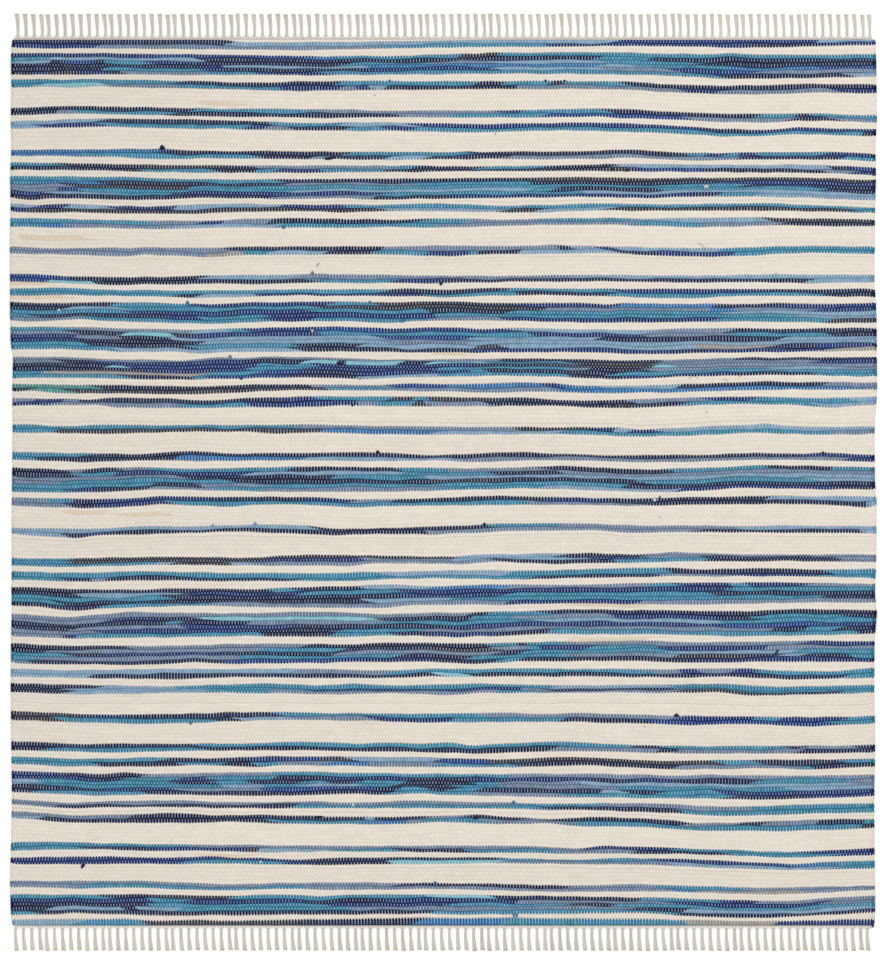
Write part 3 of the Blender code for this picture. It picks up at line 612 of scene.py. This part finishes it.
def stripFaces(lineCount, cols):
    # the faces, and for each its slice down, its cell across and its side: 0 top, 1 underside,
    # 2 left wall, 3 right wall, 4 far wall, 5 near wall
    grid = np.arange(lineCount * cols).reshape(lineCount, cols)
    under = grid + grid.size
    down, across = np.arange(lineCount - 1), np.arange(cols - 1)
    slices, cells = [part.reshape(-1) for part in np.meshgrid(down, across, indexing="ij")]
    sides = [
        ((grid[:-1, :-1], grid[1:, :-1], grid[1:, 1:], grid[:-1, 1:]), slices, cells),
        ((under[:-1, :-1], under[:-1, 1:], under[1:, 1:], under[1:, :-1]), slices, cells),
        ((grid[:-1, 0], under[:-1, 0], under[1:, 0], grid[1:, 0]), down, down * 0),
        ((grid[:-1, -1], grid[1:, -1], under[1:, -1], under[:-1, -1]), down, down * 0 + cols - 2),
        ((grid[0, :-1], grid[0, 1:], under[0, 1:], under[0, :-1]), across * 0, across),
        ((grid[-1, :-1], under[-1, :-1], under[-1, 1:], grid[-1, 1:]), across * 0 + lineCount - 2, across),
    ]
    faces = np.concatenate([np.stack(corners, -1).reshape(-1, 4) for corners, _, _ in sides])
    faceSlice = np.concatenate([inSlice for _, inSlice, _ in sides])
    faceCell = np.concatenate([inCell for _, _, inCell in sides])
    faceSide = np.concatenate([np.full(len(inSlice), k) for k, (_, inSlice, _) in enumerate(sides)])
    return faces, faceSlice, faceCell, faceSide


def addMap(mesh, name, u, v):
    layer = mesh.uv_layers.new(name=name)
    layer.data.foreach_set("uv", np.stack([u, v], -1).astype(np.float32).reshape(-1))
    return layer


# Where a strip's parts lie on the bake map, as shares of the map: the top in four folds, the underside in four flatter
# ones, then the walls
bakeMap = dict(
    folds=4, start=0.006, across=0.988,
    topAt=0.004, topStep=0.178, topDepth=0.172,
    underAt=0.720, underStep=0.066, underDepth=0.060,
    wallStart=0.01, wallStep=0.48, wallLength=0.46, sideWallAt=0.986, endWallAt=0.993, wallDepth=0.005,
)


def bakePlaces(across, deep, cell, side, lower):
    m = bakeMap
    foldOf = np.minimum((stations / weave["width"] * m["folds"]).astype(int), m["folds"] - 1)
    starts = np.array([stations[:-1][foldOf[:-1] == f][0] for f in range(m["folds"])])
    widest = (np.append(starts[1:], weave["width"]) - starts).max()
    fold = foldOf[cell]
    u = m["start"] + m["across"] * (across - starts[fold]) / widest
    topV = m["topAt"] + fold * m["topStep"] + deep * m["topDepth"]
    underV = m["underAt"] + fold * m["underStep"] + deep * m["underDepth"]
    v = np.where(side == 0, topV, underV)
    sideU = m["wallStart"] + m["wallStep"] * (side - 2) + m["wallLength"] * deep
    endU = m["wallStart"] + m["wallStep"] * (side - 4) + m["wallLength"] * across / weave["width"]
    u = np.where(side >= 4, endU, np.where(side >= 2, sideU, u))
    wallV = np.where(side >= 4, m["endWallAt"], m["sideWallAt"]) + m["wallDepth"] * lower
    return u, np.where(side >= 2, wallV, v)


def weavePiece(name, allRows, firstIndex, lastIndex):
    # one closed strip of the cloth: ribbed above and below, over the rows that are chosen
    chosen = allRows[firstIndex:lastIndex]
    cols = len(stations)
    lines, drops, owners = stripLines(chosen)
    lineCount = len(lines)
    points = stripPoints(chosen, lines, drops, owners)
    faces, faceSlice, faceCell, faceSide = stripFaces(lineCount, cols)
    mesh = bpy.data.meshes.new(name)
    mesh.from_pydata(points.tolist(), [], faces.tolist())

    # for each face corner: its line, its station, its row and how far it is over that row
    corner = faces.reshape(-1) % (lineCount * cols)
    cornerLine, cornerCol = corner // cols, corner % cols
    cell, side = np.repeat(faceCell, 4), np.repeat(faceSide, 4)
    owner = np.repeat(owners[faceSlice], 4)
    across = stations[cornerCol]
    pastRow = (owners[cornerLine] != owner) | (cornerLine == lineCount - 1)
    along = np.where(pastRow, 1.0, drops[cornerLine])
    rowNumber = firstIndex + owner

    cellYarns = [yarnCells(row) for row in chosen]
    place, slant = [np.array([yarns[k] for yarns in cellYarns])[owner, cell] for k in (2, 3)]
    lineDistance = np.clip(across - place - slant * (2 * along - 1), -9, 9)
    addMap(mesh, "weave", dashesLeft[cornerCol] + 0.5 * (rowNumber % 2), along)
    addMap(mesh, "split", rowNumber * weave["rowSeed"], lineDistance)
    lastRow = len(allRows) - 1
    layers = dict(
        yarnLeft=[yarns[0] for yarns in cellYarns],
        yarnRight=[yarns[1] for yarns in cellYarns],
        yarnFar=[yarnCells(allRows[max(0, k - 1)])[0] for k in range(firstIndex, lastIndex)],
        yarnNear=[yarnCells(allRows[min(lastRow, k + 1)])[0] for k in range(firstIndex, lastIndex)],
    )
    for layer, letters in layers.items():
        colours = np.array([[(*linear(ragColours[letter]), 1.0) for letter in line] for line in letters])
        attribute = mesh.attributes.new(layer, "FLOAT_COLOR", "CORNER")
        attribute.data.foreach_set("color", colours[owner, cell].astype(np.float32).reshape(-1))

    depth = np.array([line.mean() for line in lines])
    length = depth[-1] - depth[0]
    deep = ((depth - depth[0]) / length)[cornerLine]
    lower = faces.reshape(-1) >= lineCount * cols
    mesh.uv_layers.active = addMap(mesh, "OFBake", *bakePlaces(across, deep, cell, side, lower))
    mesh.polygons.foreach_set("use_smooth", np.ones(len(faces), bool))
    mesh.validate()
    piece = bpy.data.objects.new(name, mesh)
    bpy.context.scene.collection.objects.link(piece)
    return piece, float(length) / 100


clothFinish = dict(
    floatHalf=0.20, floatStray=0.08,   # half of a warp float's width, as a share of the dash pitch
    warpCream=(231, 222, 211), dyedWarp=(188, 203, 232),
    # how far a float is pulled towards the rag's colour, least and most: partly painted shade on the sunk warp, partly
    # lint and tint from the rag; and how the rag's colour is lightened for it
    floatShadeTint=(0.48, 0.86), floatLift=(2.2, 1.2), undyedLift=1.06,
    bite=0.14, biteHalf=0.31,           # how far the next row's dash reaches over a float's end
    rowTone=0.035, dyedRowTone=0.16, slowTone=0.06,   # shades from row to row, and slowly over the rug
    sideShade=0.045, sideShadeOver=(-0.95, -0.25),    # painted shade: the left side is a little darker, in metres of X
    greener=(0.70, 1.10, 0.86), bluer=(1.0, 0.92, 1.08),   # the two ways that a dash's hue strays
    # grooveShade and floatShade set painted shade along the row edges and around the floats
    grooveShade=0.08, floatShade=0.32, dashTone=0.40, ragTone=0.85, fibreTone=0.16, hueStray=0.60,
    undyedShare=0.16, undyedGroove=0.04, undyedMottle=0.26,   # how strongly the undyed rows show shading
    bumpDepth=0.0006, roughness=0.9, sheen=0.04,
)


def ragWeaveMaterial():
    g = Graph("rag_weave", clothFinish["roughness"], clothFinish["sheen"])
    phase, across = g.coords("weave")
    seed, line = g.coords("split")
    left, right, farYarn, nearYarn = [
        g.node("ShaderNodeAttribute", dict(attribute_name=layer), [])
        for layer in ("yarnLeft", "yarnRight", "yarnFar", "yarnNear")
    ]
    number = phase.floor()
    u = phase.fract() - 0.5
    v = across - 0.5
    dash = g.scatter(g.vector(number, seed))
    floatRandom = g.scatter(g.vector(number, seed, 3.0))
    rag = g.grain(g.vector(phase * 0.22, seed * 7.3), 1.0, 3.0, 0.6)
    fibre = g.grain(g.vector(phase * 7.0, across * 5.0 + seed * 11.0), 1.0, 3.0, 0.65)
    ragged = (rag - 0.5) * 1.6 + (dash - 0.5) * 0.9
    weft = g.mix((line + ragged).above(0.0), left, right)
    reach = clothFinish["bite"] * (1.0 - (u / clothFinish["biteHalf"]) * (u / clothFinish["biteHalf"]))
    bitten = (abs(v) + reach).above(0.5)
    beside = g.mix(v.above(0.0), farYarn, nearYarn)
    weft = g.mix(bitten, weft, beside)
    parts = g.node("ShaderNodeSeparateColor", {}, [weft])
    undyed = parts.ramp(0.34, 0.58)
    hold = 1.0 - parts.ramp(0.02, 0.60) * (1.0 - clothFinish["undyedShare"])
    hueDash = g.scatter(g.vector(number, seed, 7.0))
    greener, bluer = [
        g.node("ShaderNodeVectorMath", dict(operation="MULTIPLY"), [weft, clothFinish[way]])
        for way in ("greener", "bluer")
    ]
    slowHue = (hueDash * 0.6 + rag * 0.8 - 0.2).ramp(0.25, 0.75)
    weft = g.mix(hold * clothFinish["hueStray"], weft, g.mix(slowHue, greener, bluer))
    half = clothFinish["floatHalf"] + (floatRandom - 0.5) * clothFinish["floatStray"]
    wide = u / half
    tall = v / 0.60
    fromMiddle = wide * wide + tall * tall
    warpFloat = (1.0 - fromMiddle.ramp(0.55, 1.35)) * (1.0 - bitten)
    warpFloat = warpFloat * phase.above(1.1) * (float(dashesLeft[-1]) - 0.6 - phase).above(0.0)
    # painted shade: near rings each float where it dips into the weft, groove runs along each row's edges; both darken
    # the colour and also shape the bump
    near = 1.0 - fromMiddle.ramp(1.0, 3.2)
    groove = abs(v).ramp(0.30, 0.50)
    stray = (dash - 0.5) * clothFinish["dashTone"] + (rag - 0.5) * clothFinish["ragTone"]
    stray = stray + (fibre - 0.5) * clothFinish["fibreTone"] - near * clothFinish["floatShade"]
    grooveHold = 1.0 - undyed * (1.0 - clothFinish["undyedGroove"])
    mottle = g.grain(g.vector(phase * 0.11, seed * 5.1, 4.0), 1.0, 4.0, 0.7) - 0.5
    place = g.node("ShaderNodeTexCoord", {}, [], output=3)
    cloud = g.grain(place, 1.6, 2.0) - 0.5
    rowShade = g.scatter(g.vector(seed, 5.0)) - 0.5
    rowTone = clothFinish["rowTone"] + (clothFinish["dyedRowTone"] - clothFinish["rowTone"]) * hold
    fromLeft = g.node("ShaderNodeSeparateXYZ", {}, [place])
    whole = 1.0 + cloud * clothFinish["slowTone"] + rowShade * rowTone
    # painted shade, darker towards the left side
    whole = whole - (1.0 - fromLeft.ramp(*clothFinish["sideShadeOver"])) * clothFinish["sideShade"]
    whole = whole * (1.0 + mottle * undyed * clothFinish["undyedMottle"])
    # painted shade in the grooves and around the floats, taken off the random tones of dash, rag and fibre
    tone = (1.0 + stray * hold - groove * grooveHold * clothFinish["grooveShade"]) * whole
    weftShown = g.shade(weft, tone)
    cream = g.mix(undyed, linear(clothFinish["dyedWarp"]), linear(clothFinish["warpCream"]))
    cream = g.shade(cream, 1.0 + (floatRandom - 0.5) * 0.10)
    cream = g.shade(cream, whole)
    # the float over a rag: partly painted shade where the warp sinks between rag lumps, partly the rag's own lint and
    # tint
    least, most = clothFinish["floatShadeTint"]
    darkLift, paleLift = clothFinish["floatLift"]
    green = g.node("ShaderNodeSeparateColor", {}, [weft], output=1)
    lift = darkLift - green.ramp(-0.04, 0.20) * (darkLift - paleLift)
    lifted = g.shade(weft, lift - undyed * (lift - clothFinish["undyedLift"]))
    shadedTintedFloat = g.mix(least + floatRandom * (most - least), cream, lifted)
    shown = g.mix(warpFloat, weftShown, shadedTintedFloat)
    dome = (1.0 - abs(u) * 1.2) * (1.0 - groove * 0.6) * hold
    height = dome * 0.5 + warpFloat * 0.55 * (0.4 + 0.6 * hold)
    height = height - near * 0.25 * hold + (fibre - 0.5) * 0.22
    rough = 0.84 + (fibre - 0.5) * 0.12
    return g.finish(shown, height, clothFinish["bumpDepth"], 0.9, rough)


# The cloth, in strips that lie edge to edge
ragWeave = ragWeaveMaterial()
cuts = np.linspace(0, len(rows), weave["pieces"] + 1).round().astype(int)
for index in range(weave["pieces"]):
    first, last = int(cuts[index]), int(cuts[index + 1])
    strip, stripLength = weavePiece(f"weft_rows_{index + 1:02d}", rows, first, last)
    strip.data.materials.append(ragWeave)
    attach(strip, bodyName)
    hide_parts("woven_cloth")
print("cloth woven in", weave["pieces"], "strips")


# Round yarns: one tube per path, all in one mesh

class Tubes:
    def __init__(self):
        self.points, self.faces, self.colours, self.lengths, self.rounds = [], [], [], [], []

    def add(self, path, radii, colour, sides=6, flatten=1.0):
        path = np.array(path, float)
        start = len(self.points)
        count = len(path)
        steps = np.gradient(path, axis=0)
        steps /= np.linalg.norm(steps, axis=1)[:, None] + 1e-12
        travelled = np.concatenate([[0], np.cumsum(np.linalg.norm(np.diff(path, axis=0), axis=1))])
        for i in range(count):
            ahead = steps[i]
            up = np.array([0.0, 0.0, 1.0]) if abs(ahead[2]) < 0.9 else np.array([0.0, 1.0, 0.0])
            sideways = np.cross(ahead, up)
            sideways /= np.linalg.norm(sideways)
            lift = np.cross(sideways, ahead)
            for k in range(sides):
                turn = 2 * math.pi * k / sides
                outward = math.cos(turn) * sideways + flatten * math.sin(turn) * lift
                self.points.append(path[i] + radii[i] * outward)
        for i in range(count - 1):
            for k in range(sides):
                n = (k + 1) % sides
                ring, after = start + i * sides, start + (i + 1) * sides
                self.faces.append([ring + k, ring + n, after + n, after + k])
                self.lengths += [travelled[i], travelled[i], travelled[i + 1], travelled[i + 1]]
                self.rounds += [k / sides, (k + 1) / sides, (k + 1) / sides, k / sides]
                self.colours += [colour] * 4
        for end, order in ((0, range(sides - 1, -1, -1)), (count - 1, range(sides))):
            self.faces.append([start + end * sides + k for k in order])
            self.lengths += [travelled[end]] * sides
            self.rounds += [k / sides for k in order]
            self.colours += [colour] * sides

    def build(self, name, material):
        mesh = bpy.data.meshes.new(name)
        mesh.from_pydata([tuple(p) for p in self.points], [], self.faces)
        twist = mesh.uv_layers.new(name="twist")
        pairs = np.stack([np.array(self.lengths) * 1000, np.array(self.rounds)], -1)
        twist.data.foreach_set("uv", pairs.astype(np.float32).reshape(-1))
        attribute = mesh.attributes.new("yarn", "FLOAT_COLOR", "CORNER")
        colours = np.array([(*c, 1.0) for c in self.colours], np.float32)
        attribute.data.foreach_set("color", colours.reshape(-1))
        mesh.polygons.foreach_set("use_smooth", np.ones(len(self.faces), bool))
        mesh.materials.append(material)
        made = bpy.data.objects.new(name, mesh)
        bpy.context.scene.collection.objects.link(made)
        return made


def spunYarnMaterial(name, pitch, twistDepth, tone):
    # pitch: millimetres of yarn to one turn of its twist
    g = Graph(name, 0.88, 0.2)
    along, around = g.coords("twist")
    yarn = g.node("ShaderNodeAttribute", dict(attribute_name="yarn"), [])
    ply = abs((along / pitch + around * 2.0).fract() - 0.5) * 2.0
    fuzz = g.grain(g.vector(along * 1.3, around * 6.0), 1.0, 3.0, 0.6)
    # painted shade in the grooves between the plies, and a random fuzz tone
    value = 1.0 + (fuzz - 0.5) * tone - ply.ramp(0.55, 1.0) * 0.22
    rough = 0.86 + (fuzz - 0.5) * 0.1
    return g.finish(g.shade(yarn, value), (1.0 - ply * ply) * 0.7 + fuzz * 0.3, twistDepth, 0.8, rough)


# Heading and fringe: all the warp ends of a few dashes bunch into one strand

fringe = dict(
    strands=109, pitch=0.01712, closePitch=0.01405, closeEvery=8, closeFirst=3,
    length=0.0475, heading=0.0060, seam=0.0003, endsPerStrand=5,
    rootSpread=0.0052, waistSpread=0.0058, tipSpread=0.0108, tipLean=0.0026,
    farShift=0.0012, nearShift=-0.0045, yarnRadius=0.00086, tipRadius=0.00106,
    headingHeight=0.0027, headingHalf=0.909,
    leanStray=0.0004, lengthStray=0.0005, wobble=0.00025, tipStray=0.0005,
    colour=(209, 202, 191), colourStray=4,
)
headingCord = dict(
    lanes=2, firstLane=0.0017, laneStep=0.0026, steps=160, half=0.9085,
    radius=0.0015, height=0.00175, colour=(229, 226, 223),
)


def strandCentres():
    centres = [0.0]
    for gap in range(fringe["strands"] - 1):
        close = gap % fringe["closeEvery"] == fringe["closeFirst"]
        centres.append(centres[-1] + (fringe["closePitch"] if close else fringe["pitch"]))
    return [c - centres[-1] / 2 for c in centres]


def cottonTone():
    stray = random.uniform(-1, 1) * fringe["colourStray"]
    warm = random.uniform(-2, 2)
    r, g, b = fringe["colour"]
    return linear((r + stray, g + stray, b + stray - warm))


def makeFringe(name, towards, shift, material):
    tubes = Tubes()
    inner = weave["length"] / 200 + fringe["seam"]
    outer = inner + fringe["heading"]
    centres = [c + shift for c in strandCentres()]
    half = fringe["headingHalf"]
    bounds = [-half] + [(a + b) / 2 for a, b in zip(centres, centres[1:])] + [half]
    head = fringe["headingHeight"]
    for j, centre in enumerate(centres):
        tone = cottonTone()
        lean = towards * (fringe["tipLean"] + random.gauss(0, fringe["leanStray"]))
        reach = fringe["length"] + random.gauss(0, fringe["lengthStray"])
        for k in range(fringe["endsPerStrand"]):
            share = (k + 0.5) / fringe["endsPerStrand"]
            offset = share - 0.5
            startX = bounds[j] + share * (bounds[j + 1] - bounds[j])
            rise = 0.0007 * (k % 2)
            wobble = random.gauss(0, fringe["wobble"])
            tipStray = random.gauss(0, fringe["tipStray"])
            root, waist, fan = [offset * fringe[part + "Spread"] for part in ("root", "waist", "tip")]
            ahead = [
                (startX, inner - 0.0022, 0.0044),
                (startX, inner + 0.0004, 0.0040),
                (startX * 0.9 + centre * 0.1, inner + 0.0024, head + 0.0003),
                (startX * 0.55 + (centre + root) * 0.45, inner + 0.0045, head - 0.0002),
                (centre + root * 1.15, outer + 0.0010, 0.0018 + rise),
                (centre + root + wobble, outer + 0.0070, 0.0012 + rise),
                (centre + waist + wobble, outer + 0.36 * reach, 0.0010 + rise),
                (centre - 0.40 * lean + waist * 0.55 + fan * 0.45, outer + 0.68 * reach, 0.0010 + rise * 0.6),
                (centre - 0.78 * lean + fan * 0.85, outer + 0.88 * reach, 0.0009 + rise * 0.3),
                (centre - lean + fan + tipStray * 0.3, outer + reach + tipStray, 0.0009),
            ]
            path = [(x, towards * y, z) for x, y, z in ahead]
            base, tip = fringe["yarnRadius"], fringe["tipRadius"]
            radii = [base * swell for swell in (1, 1.05, 1.15, 1.1, 1.05, 1, 1)]
            radii += [(base + tip) / 2, tip, tip * 0.82]
            stray = random.uniform(0.97, 1.03)
            tubes.add(path, radii, tuple(c * stray for c in tone), sides=5)
    return tubes.build(name, material)


def makeHeading(name, towards, material):
    # the last pick of warp yarn, a low cord under the gathered ends
    tubes = Tubes()
    steps, half = headingCord["steps"], headingCord["half"]
    inner = weave["length"] / 200 + fringe["seam"]
    for lane in range(headingCord["lanes"]):
        y = inner + headingCord["firstLane"] + lane * headingCord["laneStep"]
        path = []
        for i in range(steps + 1):
            strayY, strayZ = 0.0002 * math.sin(i * 1.7 + lane), 0.0001 * math.sin(i * 0.9)
            path.append((2 * half * i / steps - half, towards * (y + strayY), headingCord["height"] + strayZ))
        tubes.add(path, [headingCord["radius"]] * len(path), linear(headingCord["colour"]), sides=8)
    return tubes.build(name, material)


fringeCotton = spunYarnMaterial("fringe_cotton", 3.4, 0.0003, 0.16)
for side, towards in (("far", 1), ("near", -1)):
    node = f"fringe_{side}"
    shift = fringe[side + "Shift"]
    strands = makeFringe(f"fringe_strands_{side}", towards, shift, fringeCotton)
    cord = makeHeading(f"heading_cord_{side}", towards, fringeCotton)
    for piece in (strands, cord):
        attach(piece, bodyName)
        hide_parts(node)
print("fringes made")


# Loose ends where one rag strip was joined to the next, and a little lint: the place in cm from
# the left and far edges, the way the end points in degrees, and its length and width in mm
looseEnds = [
    (32.0, 23.4, 95, 10, 5.0, "k"), (66.4, 25.3, 0, 24, 2.8, "k"), (80.0, 9.0, 90, 5, 2.6, "t"),
    (113.0, 9.0, 90, 5, 2.4, "n"), (117.0, 8.9, 80, 4, 2.2, "k"), (77.4, 33.5, -100, 5, 2.6, "n"),
    (57.8, 39.6, -80, 6, 4.2, "t"), (64.0, 49.8, 90, 7, 3.0, "s"), (91.2, 51.6, -90, 6, 3.2, "n"),
    (37.5, 56.2, 90, 8, 3.4, "t"), (76.0, 56.0, 80, 6, 3.2, "t"), (82.8, 59.5, -70, 6, 4.4, "t"),
    (46.0, 67.5, 95, 6, 3.4, "s"), (68.6, 68.7, -5, 15, 3.2, "k"), (73.5, 71.7, -85, 6, 1.8, "g"),
    (48.4, 71.7, -90, 5, 3.2, "n"), (72.0, 77.4, -90, 5, 2.4, "k"), (77.5, 87.7, 85, 6, 3.4, "k"),
    (172.0, 87.9, 90, 6, 3.0, "k"), (42.5, 103.3, 80, 6, 3.0, "y"), (51.5, 103.0, 95, 7, 3.0, "y"),
    (100.0, 103.0, 90, 6, 3.0, "k"), (137.0, 97.5, 70, 8, 2.0, "k"), (162.6, 129.4, -118, 17, 2.0, "k"),
    (141.0, 143.6, 90, 7, 4.8, "n"), (38.0, 144.7, -90, 6, 3.2, "t"), (106.5, 162.0, 85, 7, 3.2, "t"),
    (64.2, 165.0, 0, 20, 2.8, "k"), (98.0, 165.0, 0, 12, 3.6, "k"), (15.6, 174.8, -130, 12, 3.2, "n"),
    (90.0, 179.1, 95, 7, 3.0, "c"), (106.4, 185.4, -75, 9, 2.4, "t"), (107.2, 185.4, -105, 8, 2.4, "t"),
    (146.8, 31.3, 30, 9, 3.0, "p"), (136.3, 97.8, 150, 7, 2.6, "w"), (72.3, 162.2, 0, 4, 3.0, "w"),
    (127.0, 27.5, 15, 8, 3.6, "b"), (130.0, 27.6, -10, 8, 3.8, "b"), (127.0, 77.6, 10, 7, 3.8, "b"),
    (130.0, 77.7, -20, 7, 3.4, "b"), (10.3, 57.5, 80, 4, 2.4, "w"), (63.7, 61.9, 70, 4, 2.4, "w"),
    (53.0, 174.5, 100, 4, 2.4, "w"), (182.6, 187.4, -70, 9, 2.4, "n"),
]
lint = [
    (76.7, 12.0, 40, 4, "s"), (102.5, 20.2, 100, 4, "s"), (65.0, 48.2, 70, 8, "n"), (162.0, 49.7, 10, 4, "s"),
    (137.0, 101.5, 60, 4, "s"), (147.3, 79.1, 120, 4, "s"), (134.0, 145.8, 30, 4, "s"),
    (145.5, 43.1, -45, 26, "g"),
    (143.0, 72.0, 15, 22, "g"), (150.5, 72.1, -20, 12, "g"), (153.7, 71.8, 50, 8, "g"),
]
endShape = dict(
    lie=0.0050, arch=0.0009, curl=0.25, widthShare=780, belly=0.2, thinning=0.62,
    lintHeight=0.0062, lintBend=0.3, speckUnder=9, speckRadius=0.0007, hairRadius=0.00045,
)


def onRug(xCm, yCm):
    left = float(np.interp(yCm, edgeDown, edgeLeft))
    right = float(np.interp(yCm, edgeDown, edgeRight))
    return left + xCm / weave["width"] * (right - left), solidTop - yCm / 100


def ahead(x, y, turn, reach, z):
    return x + math.cos(turn) * reach, y + math.sin(turn) * reach, z


def makeLooseEnds(material):
    tubes = Tubes()
    e = endShape
    for xCm, yCm, heading, length, width, letter in looseEnds:
        x, y = onRug(xCm, yCm)
        turn = math.radians(heading)
        curl = random.uniform(-e["curl"], e["curl"])
        path, radii = [], []
        for i in range(6):
            t = i / 5
            z = e["lie"] + e["arch"] * math.sin(math.pi * min(1, t * 1.1))
            path.append(ahead(x, y, turn + curl * t, length / 1000 * t, z))
            swell = 1.0 + e["belly"] * math.sin(math.pi * t) - e["thinning"] * t
            radii.append(width / e["widthShare"] * swell)
        colour = tuple(c * random.uniform(0.85, 1.1) for c in linear(ragColours[letter]))
        tubes.add(path, radii, colour, sides=7, flatten=0.5)
    for xCm, yCm, heading, length, letter in lint:
        x, y = onRug(xCm, yCm)
        turn = math.radians(heading)
        path = []
        for i in range(7):
            t = i / 6
            bend = e["lintBend"] * math.sin(t * 4.0)
            path.append(ahead(x, y, turn + bend, length / 1000 * t, e["lintHeight"]))
        radius = e["speckRadius"] if length < e["speckUnder"] else e["hairRadius"]
        tubes.add(path, [radius] * 7, linear(ragColours[letter]), sides=5)
    return tubes.build("loose_rag_ends", material)


ragEnd = spunYarnMaterial("rag_end", 5.0, 0.0003, 0.4)
ends = makeLooseEnds(ragEnd)
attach(ends, bodyName)
print("loose ends placed:", len(looseEnds) + len(lint))


# Floor and light

studio = dict(
    floor=(250, 250, 249), floorSize=9.0, floorDrop=0.0002, sky=0.92, boxSize=3.2,
    key=50.0, keyPlace=(2.2, 1.9, 3.0), fill=34.0, fillPlace=(-2.4, -2.0, 3.0),
)


def makeFloor():
    mesh = bpy.data.meshes.new("studio_floor")
    h = studio["floorSize"]
    mesh.from_pydata([(-h, -h, 0), (h, -h, 0), (h, h, 0), (-h, h, 0)], [], [(0, 1, 2, 3)])
    g = Graph("studio_floor", 0.9, 0.0)
    place = g.node("ShaderNodeTexCoord", {}, [], output=3)
    cloud = g.grain(place, 3.0)
    mesh.materials.append(g.finish(g.shade(linear(studio["floor"]), 1.0 + (cloud - 0.5) * 0.01)))
    floor = bpy.data.objects.new("studio_floor", mesh)
    bpy.context.scene.collection.objects.link(floor)
    floor.location.z = -studio["floorDrop"]
    return floor


def areaLight(name, place, power, size):
    data = bpy.data.lights.new(name, "AREA")
    data.energy, data.size = power, size
    lamp = bpy.data.objects.new(name, data)
    lamp.location = place
    away = -np.array(place, float)
    lamp.rotation_mode = "QUATERNION"
    lamp.rotation_quaternion = Vector(away).to_track_quat("-Z", "Y")
    lamp.visible_camera = False
    bpy.context.scene.collection.objects.link(lamp)
    return lamp


makeFloor()
areaLight("key_softbox", studio["keyPlace"], studio["key"], studio["boxSize"])
areaLight("fill_softbox", studio["fillPlace"], studio["fill"], studio["boxSize"])
world = bpy.data.worlds.new("studio")
bpy.context.scene.world = world
world.use_nodes = True
world.node_tree.nodes["Background"].inputs["Color"].default_value = (1.0, 1.0, 1.0, 1.0)
world.node_tree.nodes["Background"].inputs["Strength"].default_value = studio["sky"]
bpy.context.scene.view_settings.view_transform = "Standard"
bpy.context.scene.view_settings.look = "None"
print("studio lit")
